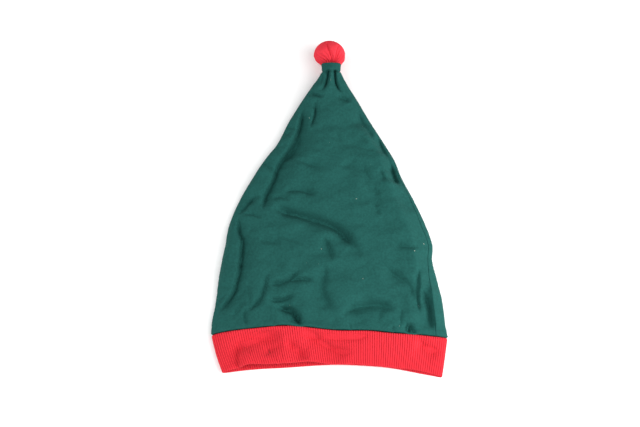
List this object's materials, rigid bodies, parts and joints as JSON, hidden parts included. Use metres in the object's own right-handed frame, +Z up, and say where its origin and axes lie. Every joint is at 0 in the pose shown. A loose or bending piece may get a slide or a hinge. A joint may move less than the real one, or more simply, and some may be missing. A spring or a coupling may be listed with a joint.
{
  "type": "elf hat",
  "caption": "Baby's pointed elf hat lying flat: two-panel green jersey crown, doubled red rib-knit cuff round the mouth and a stuffed red ball gathered in at the tip.",
  "frame": {"origin": "on the table under the middle of the hat's box", "axes": "+X across the mouth, +Y from the mouth to the tip, +Z up from the table"},
  "size_m": [0.1742, 0.2703, 0.0251],
  "materials": {
    "green_jersey": "matt cotton jersey knit",
    "red_rib": "matt cotton 1x1 rib knit, folded double",
    "red_jersey": "matt cotton jersey knit over soft filling"
  },
  "bodies": {
    "root": {"crown_front": "green_jersey", "crown_back": "green_jersey", "cuff": "red_rib", "ball": "red_jersey"}
  },
  "joints": []
}
